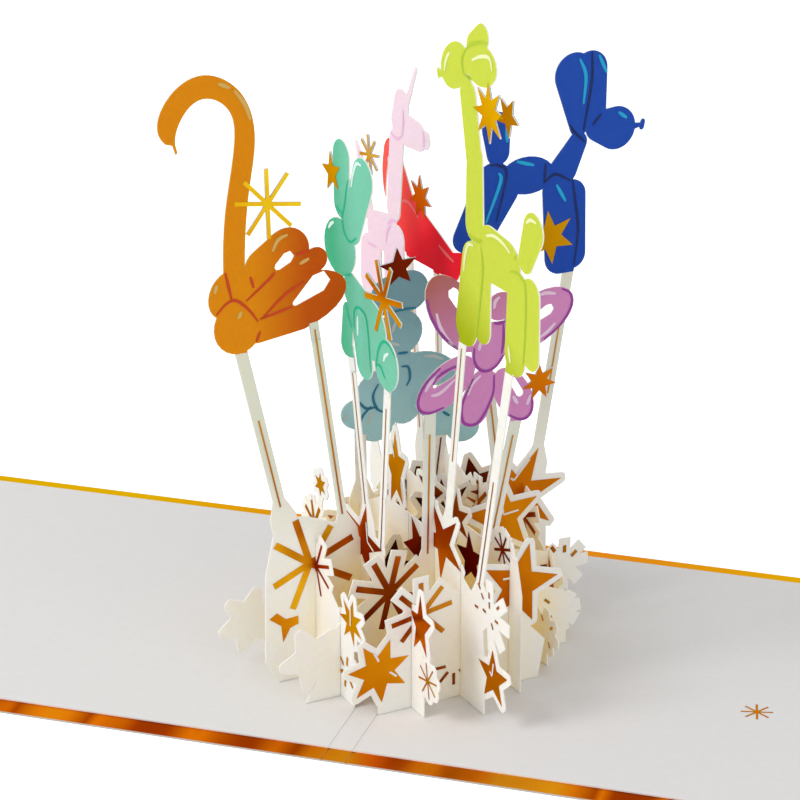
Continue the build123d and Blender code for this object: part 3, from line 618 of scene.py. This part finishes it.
def ring_group():
    """Rays of foil on an arc round the origin, in millimetres and degrees."""
    tree = bpy.data.node_groups.new("ray_ring", "GeometryNodeTree")
    for name, kind in RING_INPUTS:
        tree.interface.new_socket(name, in_out="INPUT", socket_type=kind)
    tree.interface.new_socket("Geometry", in_out="OUTPUT", socket_type="NodeSocketGeometry")
    given = add(tree, "NodeGroupInput").outputs
    index = add(tree, "GeometryNodeInputIndex")
    turned = add(tree, "ShaderNodeMath", {0: index, 1: given["Step"]}, operation="MULTIPLY")
    degrees = add(tree, "ShaderNodeMath", {0: given["Start"], 1: turned}, operation="ADD")
    angle = add(tree, "ShaderNodeMath", {0: degrees}, operation="RADIANS")
    both_ends = add(tree, "ShaderNodeMath", {0: given["Inner"], 1: given["Outer"]}, operation="ADD")
    middle = add(tree, "ShaderNodeMath", {0: both_ends, 1: 2.0}, operation="DIVIDE")
    across = add(tree, "ShaderNodeMath", {0: angle}, operation="COSINE")
    across = add(tree, "ShaderNodeMath", {0: middle, 1: across}, operation="MULTIPLY")
    upward = add(tree, "ShaderNodeMath", {0: angle}, operation="SINE")
    upward = add(tree, "ShaderNodeMath", {0: middle, 1: upward}, operation="MULTIPLY")
    spot = add(tree, "ShaderNodeCombineXYZ", {"X": across, "Y": upward})
    row = add(tree, "GeometryNodeMeshLine", {"Count": given["Rays"]})
    arc = add(tree, "GeometryNodeSetPosition", {"Geometry": row, "Position": spot})
    length = add(tree, "ShaderNodeMath", {0: given["Outer"], 1: given["Inner"]}, operation="SUBTRACT")
    ray = add(tree, "GeometryNodeMeshGrid", {"Size X": length, "Size Y": given["Width"],
                                             "Vertices X": 2, "Vertices Y": 2})
    heading = add(tree, "ShaderNodeCombineXYZ", {"Z": angle})
    shortest = add(tree, "ShaderNodeMath", {0: 1.0, 1: given["Uneven"]}, operation="SUBTRACT")
    size = add(tree, "FunctionNodeRandomValue", {RANDOM_MIN: shortest, RANDOM_MAX: 1.0,
                                                 "Seed": given["Seed"]})
    scale = add(tree, "ShaderNodeCombineXYZ", {"X": size, "Y": 1.0, "Z": 1.0})
    placed = add(tree, "GeometryNodeInstanceOnPoints", {"Points": arc, "Instance": ray,
                                                        "Rotation": heading, "Scale": scale})
    half_step = add(tree, "ShaderNodeMath", {0: HALF_TURN, 1: given["Rays"]}, operation="DIVIDE")
    half_step = add(tree, "ShaderNodeMath", {0: half_step}, operation="RADIANS")
    flat = add(tree, "ShaderNodeMath", {0: half_step}, operation="COSINE")
    corner = add(tree, "ShaderNodeMath", {0: given["Inner"], 1: flat}, operation="DIVIDE")
    disc = add(tree, "GeometryNodeMeshCircle", {"Vertices": given["Rays"], "Radius": corner},
               fill_type="NGON")
    start = add(tree, "ShaderNodeMath", {0: given["Start"]}, operation="RADIANS")
    start = add(tree, "ShaderNodeMath", {0: half_step, 1: start}, operation="ADD")
    first = add(tree, "ShaderNodeCombineXYZ", {"Z": start})
    disc = add(tree, "GeometryNodeTransform", {"Geometry": disc, "Rotation": first})
    hub = add(tree, "GeometryNodeSwitch", {"Switch": given["Hub"], "True": disc}, input_type="GEOMETRY")
    whole = add(tree, "GeometryNodeJoinGeometry", {0: placed})
    feed(tree, whole, {0: hub})
    real = add(tree, "GeometryNodeRealizeInstances", {"Geometry": whole})
    done = add(tree, "GeometryNodeSetMaterial", {"Geometry": real, "Material": given["Foil"]})
    add(tree, "NodeGroupOutput", {"Geometry": done})
    return tree


RING = ring_group()
print("ring group:", len(RING.nodes), "nodes,", len(RING_INPUTS), "inputs")

# %% [markdown]
# Four slats carry a ring. The group is run once for each with its own sizes, and the flat result is
# stood up on both faces of the slat. A row gives the slat, two tones, the centre, and then the count
# of rays, the first angle, the step, the inner and outer reach, the width and how uneven they are.

# %% Rings on the walls


def ring_mesh(**values):
    """The mesh that the group makes for named inputs."""
    holder = bpy.data.objects.new("holder", bpy.data.meshes.new("holder"))
    bpy.context.scene.collection.objects.link(holder)
    modifier = holder.modifiers.new("ring", "NODES")
    modifier.node_group = RING
    for item in RING.interface.items_tree:
        if item.name in values:
            modifier[item.identifier] = values[item.name]
    ready = holder.evaluated_get(bpy.context.evaluated_depsgraph_get())
    mesh = bpy.data.meshes.new_from_object(ready)
    holder.modifiers.remove(modifier)
    bpy.data.objects.remove(holder)
    return mesh


def stamp(name, slat, drawing, centre, material):
    """Stands a flat drawing on both faces of a slat."""
    both = bmesh.new()
    for side in (1, -1):
        copy = drawing.copy()
        copy.transform(slat.stand(centre, LINE_PROUD, side))
        both.from_mesh(copy)
    mesh = bpy.data.meshes.new(name)
    both.to_mesh(mesh)
    both.free()
    return ride_on_card(name, mesh, material)


RINGS = [
    ("near_right_star", "#8E3A06", "#B05A10", (-8.7, 9.7), (5, 180.0, 45.0, 2.2, 5.4, 0.8, 0.1)),
    ("near_left_star", "#C08810", "#E0AC20", (23.4, 8.8), (6, 20.0, 60.0, 1.4, 4.6, 0.9, 0.3)),
    ("rabbit", "#C08208", "#E0A818", (42.1, 11.65), (8, 10.0, 45.0, 0.6, 4.6, 0.5, 0.0)),
    ("unicorn", "#6E260A", "#A04C12", (30.2, 35.75), (8, 20.0, 45.0, 0.84, 4.2, 0.7, 0.0)),
]
for seed, (name, deep, bright, centre, sizes) in enumerate(RINGS):
    count, first, step, inner, outer, width, uneven = sizes
    reach = Vector((outer, outer))
    gold = foil("ring_" + name, SLATS[name], deep, bright, Vector(centre) - reach, Vector(centre) + reach)
    drawing = ring_mesh(Rays=count, Start=first, Step=step, Inner=inner, Outer=outer, Width=width,
                        Uneven=uneven, Seed=seed, Hub=uneven == 0, Foil=gold)
    stamp(name + "_ring", SLATS[name], drawing, centre, gold)
print("rings of rays:", len(RINGS))

# %% [markdown]
# One more ring is stamped flat on the right panel of the liner, as an ornament. The same group makes
# it, and it is laid down on top of the paper, whose height is read from the frame.

# %% Small ring on the liner
LINER_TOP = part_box("liner")[1][2] / MM
PANEL_SPOT = (90.0, -13.0)
panel_gold = foil("ring_liner", SLATS["rabbit"], "#B87A08", "#D09A18", (80, 0), (100, 2))
panel_ring = ring_mesh(Rays=8, Start=12.0, Step=45.0, Inner=0.66, Outer=3.9, Width=0.55, Uneven=0.0,
                       Seed=7, Hub=True, Foil=panel_gold)
spot = Vector((*PANEL_SPOT, LINER_TOP + LINE_PROUD)) * MM
panel_ring.transform(Matrix.Translation(spot) @ Matrix.Scale(MM, 4))
ride_on_card("liner_ring", panel_ring, panel_gold)
print("ring on the liner:", len(panel_ring.polygons), "faces")

# %% [markdown]
# Brush strokes: the drawn lines on the figures are full in the middle and thinner at their ends, as a
# brush leaves them. A bevelled curve could do it, but it would be a round tube. A flat strip along a
# smooth curve through a few points lies on the card as print does. Printing ink is matt and lets a
# little of the fibre through.

# %% Brush strokes
CURVE_STEPS = 5
THIN_END = 0.55
INK_FINISH = {"Roughness": 0.7, "Specular IOR Level": 0.12}
INK_THINNED = 0.03


def smooth(points):
    """Points along a smooth curve through the given ones."""
    ends = [Vector(p) for p in points]
    ends = [2 * ends[0] - ends[1], *ends, 2 * ends[-1] - ends[-2]]
    path = []
    for a, b, c, d in zip(ends, ends[1:], ends[2:], ends[3:]):
        for k in range(CURVE_STEPS):
            t = k / CURVE_STEPS
            path.append(0.5 * (2 * b + (c - a) * t + (2 * a - 5 * b + 4 * c - d) * t ** 2
                               + (3 * b - a - 3 * c + d) * t ** 3))
    return [*path, ends[-2]]


def stroke(width, *points):
    """A brush line through the points, full in the middle and thinner towards its ends."""
    path = smooth(points)
    left, right = [], []
    for k, point in enumerate(path):
        heading = (path[min(k + 1, len(path) - 1)] - path[max(k - 1, 0)]).normalized()
        swell = width / 2 * (THIN_END + (1 - THIN_END) * sin(pi * k / (len(path) - 1)))
        side = Vector((-heading.y, heading.x)) * swell
        left.append(point + side)
        right.append(point - side)
    pairs = list(zip(left, right))
    return [[a[1], b[1], b[0], a[0]] for a, b in zip(pairs, pairs[1:])]


def print_ink(name, code):
    """Matt printing ink that lets a little of the fibre through."""
    material, tree, surface, place = start_material("ink_" + name, INK_FINISH)
    fibre = add(tree, "ShaderNodeTexNoise", {"Vector": place, **FIBRE})
    thin = add(tree, "ShaderNodeMix", {0: INK_THINNED, COLOUR_A: colour(code), COLOUR_B: colour("#FFFFFF")},
               data_type="RGBA")
    ink = add(tree, "ShaderNodeMix", {0: fibre, COLOUR_A: colour(code), COLOUR_B: thin}, data_type="RGBA")
    feed(tree, surface, {"Base Color": ink})
    return material


def paint(kind, width, figures):
    """Paints the strokes of a table, as one piece for each figure."""
    for name, (code, paths) in figures.items():
        shapes = [shape for path in paths for shape in stroke(width, *path)]
        print_on(f"{name}_{kind}s", SLATS[name], shapes, print_ink(f"{name}_{kind}", code), LINE_PROUD)
    print(f"figures with {kind}s:", len(figures))


print("a stroke through 3 points has", len(stroke(1.0, (0, 0), (1, 1), (2, 0))), "faces")

# %% [markdown]
# Twist lines: a thin line, darker on most figures, shows where two bubbles of a balloon are twisted.
# Most are a few listed points. The butterfly's wings are leaning ovals, so lines along their
# edges are worked out as arcs of those ovals, just inside the edge.

# %% Twist lines on the figures
LINE_WIDTH = 0.8
RIM_INSET = 0.45
RIM_POINTS = 6


def rim(centre, long, short, lean, first, last):
    """Points just inside the edge of a leaning oval bubble, between two angles."""
    turn = Matrix.Rotation(radians(lean), 2)
    path = []
    for k in range(RIM_POINTS):
        angle = radians(first + (last - first) * k / (RIM_POINTS - 1))
        reach = Vector(((long - RIM_INSET) * cos(angle), (short - RIM_INSET) * sin(angle)))
        path.append(Vector(centre) + turn @ reach)
    return path


LINES = {
    "swan": ("#CC4008", [
        [(-55.2, 110), (-53.7, 103)],
        [(-57.6, 99.9), (-55, 102.3), (-52.5, 102.6), (-49.5, 100), (-47, 96.5)],
        [(-46.5, 94), (-47.5, 91.5)], [(-50, 102), (-44, 106.5), (-42.5, 108)],
        [(-46, 97), (-40, 102), (-35, 104.5)], [(-46.5, 97), (-38, 98.7)], [(-37, 111.4), (-33.8, 112)],
        [(-48.8, 108), (-48, 105)]]),
    "dog": ("#0A2462", [
        [(51, 146), (51, 138), (49, 126)], [(45, 128), (46.5, 125.8), (49.5, 122.9)],
        [(46, 114), (47, 108), (48, 100), (47, 91)], [(38, 114), (41, 115.8), (45.5, 113.5)],
        [(22.5, 120.8), (24.8, 120.4), (27.2, 117.8), (24.5, 106)], [(38.3, 119), (38, 114)],
        [(51.5, 127), (54, 129.5)]]),
    "giraffe": ("#AEC828", [
        [(33.5, 163.5), (36, 165.5), (40, 167), (44, 167.8)],
        [(33.7, 163.4), (32.2, 161), (33.2, 158.2), (36.6, 157.4)],
        [(36, 120.6), (37.5, 120.3), (40.5, 120.3), (42.5, 121)],
        [(42, 119), (43, 114), (41.5, 104), (40, 97)],
        [(55.5, 117.5), (58, 118.2), (60.5, 117.8), (62.6, 115.5), (62.8, 105), (62, 97)],
        [(57.5, 121), (58.5, 122.5)]]),
    "rabbit": ("#14B487", [
        [(-5.8, 117.3), (-4, 117), (-1.8, 116.3)],
        [(1.5, 125.8), (0.3, 123), (-0.5, 119.5), (-1.8, 116), (-1.5, 113), (0.5, 110.9), (2.8, 110.7),
         (5.5, 112.5)],
        [(-1.2, 101.2), (1.5, 102), (2.9, 102.6)], [(-0.3, 94.5), (1, 91.5), (2.8, 89)],
        [(4.1, 89.5), (4, 93), (5.5, 95), (8, 95.2), (10.3, 94), (11.5, 90), (12.3, 84.5), (13, 81)],
        [(15.6, 83.2), (16, 85.5), (17, 88.5), (19.5, 91), (22.5, 90.8), (25.5, 88.8)],
        [(16, 84), (18, 84), (20.3, 81.8)]]),
    "butterfly": ("#9A3F9A", [
        [(8.9, 90.8), (10.5, 90.5), (12.1, 90.7)], rim((8, 84.8), 6.5, 4.8, 75, 95, 255),
        [(11.6, 90.2), (11.7, 86), (11.2, 82.6)],
        [(9.2, 77.5), (9, 73), (7.3, 69), (5, 66), (2.8, 65.6), (0.7, 67), (0.4, 70.9), (2.1, 74.9),
         (3.6, 77.6)],
        rim((-1.8, 95), 11.8, 5.9, -59, 225, 335), rim((-4, 77.2), 9.2, 5.2, 36, 80, 245),
        [(-7.5, 78), (-6.2, 79.8), (-2.8, 81.2), (-0.6, 81.6)], rim((14.6, 71.4), 8.2, 4.6, -58, -60, 60),
        rim((20.3, 89.6), 11.6, 6.4, 26, -90, 30)]),
    "bear": ("#2F7A94", [
        [(2.5, 81.5), (5.5, 81.8), (9.2, 81.6)], [(4, 70.2), (7, 70)],
        [(5, 66.5), (7, 66), (7.5, 63), (6.5, 61)],
        [(-1.5, 63), (-3, 60), (-2, 56.5), (0, 55)], [(-7.3, 59.5), (-5, 57), (-2, 56.8)],
        [(-7, 52), (-6, 55), (-3.5, 57.3)], [(17, 52), (19, 50.5)]]),
    "unicorn": ("#EFBBDD", [
        [(-22.5, 126), (-21.8, 130), (-22, 133)], [(-28.5, 125.5), (-25, 124.8), (-23, 126)],
        [(-11.3, 130.5), (-11, 126.5)], [(-30.5, 101), (-28, 102.6), (-25.6, 103)],
        [(-31, 96), (-30.5, 99), (-28.5, 101)], [(-36.5, 93), (-41, 92.8)]]),
}
paint("line", LINE_WIDTH, LINES)

# %% [markdown]
# Glints: a pale stroke along one side makes a flat print look like a shiny round balloon. Real
# highlights would move with the light, and printed ones stay, so they are strokes of pale ink too.

# %% Glints on the figures
GLINT_WIDTH = 0.95
GLINTS = {
    "swan": ("#D8B060", [
        [(-56, 155.6), (-53, 154.2)], [(-52, 153.5), (-49.5, 150), (-48, 145.8)],
        [(-58, 105.2), (-57.4, 107.3)],
        [(-52, 98), (-51.3, 99.7)], [(-43, 113.2), (-41.5, 115.8), (-39, 116.8)],
        [(-36, 109), (-33.5, 110)]]),
    "dog": ("#18A8D8", [
        [(47.5, 144.5), (49.3, 140), (48.8, 132.8)], [(53, 144.8), (55.3, 140)],
        [(59, 129.3), (61.5, 127.5)],
        [(30, 120.7), (35, 119)], [(25, 118.5), (25.5, 116), (21.5, 106)], [(41.5, 113), (44.2, 108.3)],
        [(27, 130), (27.3, 126)]]),
    "giraffe": ("#E8EFB0", [
        [(24, 156.5), (25, 159.5), (26.5, 161.5)], [(37, 162.2), (41, 164), (45, 164.6), (46.3, 162)],
        [(44.5, 122.8), (48, 123.8), (52, 123.4), (55.5, 122)],
        [(34, 111), (34.5, 114.5), (36, 118), (38.5, 118.6)],
        [(62.5, 131.2), (64.5, 132.5), (67, 132.5)], [(55.3, 99.5), (56.3, 95.8)]]),
    "rabbit": ("#D8F2E8", [
        [(3, 124.5), (4, 128), (5.8, 131), (8.2, 131.2)], [(-9.3, 110.6), (-8, 112), (-6.4, 113)],
        [(6, 93), (6, 88)],
        [(19.5, 86), (20.2, 87.5), (22, 88.8)]]),
    "butterfly": ("#E6C6E0", [
        [(-6.7, 96), (-5.5, 92), (-3, 88), (-0.8, 86)], [(-9.6, 76.5), (-8.2, 78.6), (-5.5, 80.4)],
        [(-8, 75.2), (-5.5, 75.5), (-1.5, 78.3)], [(5, 84.5), (5.3, 86.5)],
        [(9, 94.5), (9.3, 96.3), (10.5, 97.3)],
        [(2, 73.5), (3, 76), (5.5, 78)], [(21, 95.9), (23.5, 96.1), (26, 95.5)],
        [(21.8, 85), (24, 86.2), (26, 88)],
        [(14.5, 71), (15.8, 68.8)], [(18.5, 68), (19.5, 70.5)]]),
    "bear": ("#B8C8C4", [
        [(2.5, 76), (3.5, 79)], [(2, 73.5), (4.5, 72.3)], [(11.5, 68.2), (14.5, 67.6), (17, 66.4)],
        [(-4.5, 52.5), (-4, 54.5), (-2.8, 55.5)], [(-11, 54.5), (-10.5, 56.5)]]),
    "bird": ("#F0706C", [[(-28, 94), (-24, 92.8), (-20, 92)], [(-48, 100), (-44, 100.5), (-39, 98)]]),
}
paint("glint", GLINT_WIDTH, GLINTS)

# %% [markdown]
# The bear's second leg is hidden behind the butterfly in the photograph. It is finished plainly, as
# one oval bubble of the same printed card that joins the foot to the body. It is a closed sheet, so
# that it looks right from every side.

# %% The bear's second leg
LEG_POINTS = 28
LEG_CENTRE = (12.2, 54.6)
LEG_LONG = 5.6
LEG_SHORT = 2.7
LEG_LEAN = -38


def card_oval(name, slat, centre, long, short, lean, material):
    """An oval of card, closed all round, a hair thicker than the slat that it stands in."""
    turn = Matrix.Rotation(radians(lean), 2)
    sheet = bmesh.new()
    rings = {}
    for side in (1, -1):
        rings[side] = []
        for k in range(LEG_POINTS):
            angle = 2 * pi * k / LEG_POINTS
            point = Vector(centre) + turn @ Vector((long * cos(angle), short * sin(angle)))
            rings[side].append(sheet.verts.new(slat.at(point, FOIL_PROUD, side)))
        sheet.faces.new(rings[side])
    for k in range(LEG_POINTS):
        after = (k + 1) % LEG_POINTS
        sheet.faces.new((rings[1][k], rings[1][after], rings[-1][after], rings[-1][k]))
    bmesh.ops.recalc_face_normals(sheet, faces=sheet.faces)
    mesh = bpy.data.meshes.new(name)
    sheet.to_mesh(mesh)
    sheet.free()
    return ride_on_card(name, mesh, material)


bear_card = nodes["bear_slat"].data.materials[0]
leg = card_oval("bear_leg", SLATS["bear"], LEG_CENTRE, LEG_LONG, LEG_SHORT, LEG_LEAN, bear_card)
print("bear's leg:", len(leg.data.polygons), "faces")

# %% [markdown]
# Stems: each figure stands on two stems of bare card with a thin foil line along part of them. The
# ink starts at one height, and some stems reach above it, so a strip of bare card covers the ink
# there. A row gives a stem's foot, its top, its width, the heights of that strip if it has one, and
# the shares of its length where the foil line starts and ends.

# %% Stems
STEM_LINE = 0.45
STEM_GOLD = ("#B4700A", "#D8981C")
STEMS = {
    "swan": [((-41.25, 44.95), (-52.3, 93), 3.2, None, (0.06, 0.55)),
             ((-24.59, 37.95), (-32.8, 96), 2.4, (89.2, 93.8), (0.08, 0.93))],
    "butterfly": [((-8.87, 30.45), (-8.2, 74), 3.2, (64.4, 70.9), (0.08, 0.8)),
                  ((5.91, 19.95), (16.2, 68), 3.2, None, (0.35, 0.85))],
    "dog": [((36.95, 38.95), (45.8, 92), 3.2, None, (0.35, 0.8)),
            ((26.2, 36.95), (17.8, 101), 3.2, (89.3, 98), (0.1, 0.9))],
    "bear": [((-6.31, 32.95), (-6.6, 52), 3.2, (42.4, 50), (0.1, 0.85)),
             ((15.05, 32.95), (17, 49), 3.2, (42.4, 45.6), (0.1, 0.75))],
    "rabbit": [((10.48, 40.95), (1.8, 84), 3.2, (77.9, 81.2), (0.1, 0.85)),
               ((17.33, 30.95), (21.4, 82), 3.2, (77.9, 79.1), (0.1, 0.85))],
    "giraffe": [((26.47, 41.95), (34, 97), 3.2, None, (0.35, 0.9)),
                ((41.92, 29.95), (56.4, 97), 3.2, None, (0.06, 0.5))],
    "unicorn": [((-27.14, 38.95), (-28.2, 84), 3.2, (78.8, 80.8), (0.1, 0.85)),
                ((-37.35, 34.95), (-40.8, 83), 3.2, None, (0.1, 0.85))],
    "bird": [((-26.6, 38.95), (-29.4, 88), 3.2, None, (0.1, 0.85)),
             ((-37.35, 34.95), (-44.6, 90), 3.2, None, (0.1, 0.85))],
}
STEM_FOIL = {"bear": ("#5A1C06", "#8A3208"), "rabbit": ("#8A5A1A", "#B88A3A")}


def along_stem(low, high, height):
    """The point of a stem at a height."""
    share = (height - low[1]) / (high[1] - low[1])
    return Vector(low).lerp(Vector(high), share)


for name, stems in STEMS.items():
    slat = SLATS[name]
    bare, lines = [], []
    for low, high, width, strip, (first, last) in stems:
        if strip:
            bare += bar(along_stem(low, high, strip[0]), along_stem(low, high, strip[1]), width)
        lines += bar(Vector(low).lerp(Vector(high), first), Vector(low).lerp(Vector(high), last), STEM_LINE)
    if bare:
        print_on(name + "_bare_stems", slat, bare, printed_card("bare_" + name, slat, *NO_INK), FOIL_PROUD)
    deep, bright = STEM_FOIL.get(name, STEM_GOLD)
    gold = foil(name + "_stems", slat, deep, bright, stems[0][0], stems[0][1])
    print_on(name + "_stem_lines", slat, lines, gold, LINE_PROUD)
print("stems:", sum(len(stems) for stems in STEMS.values()))

# %% [markdown]
# Some large stars have short slits without foil, drawn like glints, where the white card shows. The
# foil could be cut there. A narrow bar of bare card on top of it looks the same and keeps every star
# a plain outline.

# %% Slits in the foil stars
SLIT_WIDTH = 0.55
SLIT_PROUD = LINE_PROUD + 2 * FOIL_PROUD
SLITS = {
    "near_right_star": [[(-30.5, 17.7), (-29.2, 15.3)], [(-26.3, 11.9), (-24.4, 10.3)],
                        [(4.7, 29.7), (7.6, 29.5)]],
    "swan": [[(19, 38.7), (19.9, 33.2)], [(19.9, 33.2), (24.3, 33.6)]],
    "dog": [[(29.6, 36.1), (30.5, 35.3)], [(30.5, 35.3), (35.1, 40.4)]],
    "giraffe": [[(48.5, 14.1), (49.7, 13.3)], [(49.7, 13.3), (50.3, 16.9)], [(-2.1, 55.2), (-0.8, 51.2)],
                [(2.8, 45.9), (3.7, 41.8)]],
    "rabbit": [[(10.1, 40.7), (10.8, 35.7)], [(10.8, 35.7), (14.1, 34.4)]],
    "near_left_star": [[(25.8, 27.5), (25.8, 22.1)]],
}
plain_card = printed_card("card_plain", SLATS["swan"], *NO_INK)
for name, paths in SLITS.items():
    shapes = [shape for start, end in paths for shape in bar(start, end, SLIT_WIDTH)]
    print_on(name + "_slits", SLATS[name], shapes, plain_card, SLIT_PROUD)
print("slats with slits:", len(SLITS))

# %% [markdown]
# Floor: the card lies on a pale sheet that runs out of the picture. A brighter lamp would make it
# white and the card with it. A little glow that only the camera sees does it for the floor alone,
# and the card keeps its shadow.

# %% Floor
FLOOR_SIZE = 6.0
FLOOR_GLOW = 0.45
half = FLOOR_SIZE / 2
corners = [(-half, -half, 0), (half, -half, 0), (half, half, 0), (-half, half, 0)]
floor_mesh = bpy.data.meshes.new("floor")
floor_mesh.from_pydata(corners, [], [(0, 1, 2, 3)])
floor = bpy.data.objects.new("floor", floor_mesh)
bpy.context.scene.collection.objects.link(floor)
floor_finish = {"Roughness": 0.9, "Base Color": colour("#FAFAFA"), "Emission Color": colour("#FFFFFF")}
floor_material, floor_tree, floor_surface, _ = start_material("pale_floor", floor_finish)
camera_ray = add(floor_tree, "ShaderNodeLightPath").outputs["Is Camera Ray"]
floor_glow = add(floor_tree, "ShaderNodeMath", {0: camera_ray, 1: FLOOR_GLOW}, operation="MULTIPLY")
feed(floor_tree, floor_surface, {"Emission Strength": floor_glow})
floor_mesh.materials.append(floor_material)
print("floor:", FLOOR_SIZE, "m square")

# %% [markdown]
# Light: a broad soft lamp from the left front makes the slats that face it bright and leaves the
# others a shade darker, as in the photograph, and a weak one from the right opens the shadows. The
# world gives the rest at a plain level. What the camera and mirrors see of it is raised to white.

# %% Light
LOOK_AT = (0, 0, 0.06)
LAMPS = (("key", (-0.9, -0.9, 1.1), 0.7, 12), ("fill", (0.9, -0.9, 0.9), 1.2, 3))
WORLD_LIGHT = 0.62
WORLD_SEEN = 0.5


def area_light(name, place, target, size, watts):
    """A square soft light that looks at a target."""
    light = bpy.data.lights.new(name, "AREA")
    light.size = size
    light.energy = watts
    lamp = bpy.data.objects.new(name, light)
    lamp.location = place
    lamp.rotation_euler = (Vector(target) - Vector(place)).to_track_quat("-Z", "Y").to_euler()
    bpy.context.scene.collection.objects.link(lamp)
    return lamp


for name, place, size, watts in LAMPS:
    area_light(name, place, LOOK_AT, size, watts)
world = bpy.data.worlds.new("studio")
world.use_nodes = True
bpy.context.scene.world = world
sky = world.node_tree
path = add(sky, "ShaderNodeLightPath").outputs
seen = add(sky, "ShaderNodeMath", {0: path["Is Camera Ray"], 1: path["Is Transmission Ray"]},
           operation="MAXIMUM")
seen = add(sky, "ShaderNodeMath", {0: seen, 1: path["Is Glossy Ray"]}, operation="MAXIMUM")
raised = add(sky, "ShaderNodeMath", {0: seen, 1: WORLD_SEEN}, operation="MULTIPLY")
strength = add(sky, "ShaderNodeMath", {0: WORLD_LIGHT, 1: raised}, operation="ADD")
feed(sky, sky.nodes["Background"], {"Color": colour("#FFFFFF"), "Strength": strength})
print("lamps:", len(LAMPS), "and the world at", WORLD_LIGHT)

# %% [markdown]
# Camera: a long lens, as for product pictures, so that the slats hardly taper. Its place was worked
# out from the edges and the scores of the card in the photograph.

# %% Camera
SENSOR_WIDTH = 36.0
FOCAL_LENGTH = 144.0
CAMERA_PLACE = (0.21378, -0.69773, 0.35911)
CAMERA_TILT = 68.145
CAMERA_TURN = 17.375
camera_data = bpy.data.cameras.new("photo_camera")
camera_data.sensor_width = SENSOR_WIDTH
camera_data.lens = FOCAL_LENGTH
camera = bpy.data.objects.new("photo_camera", camera_data)
camera.location = CAMERA_PLACE
camera.rotation_euler = (radians(CAMERA_TILT), 0, radians(CAMERA_TURN))
bpy.context.scene.collection.objects.link(camera)
bpy.context.scene.camera = camera
bpy.context.scene.view_settings.view_transform = "Standard"
print("lens:", FOCAL_LENGTH, "mm")
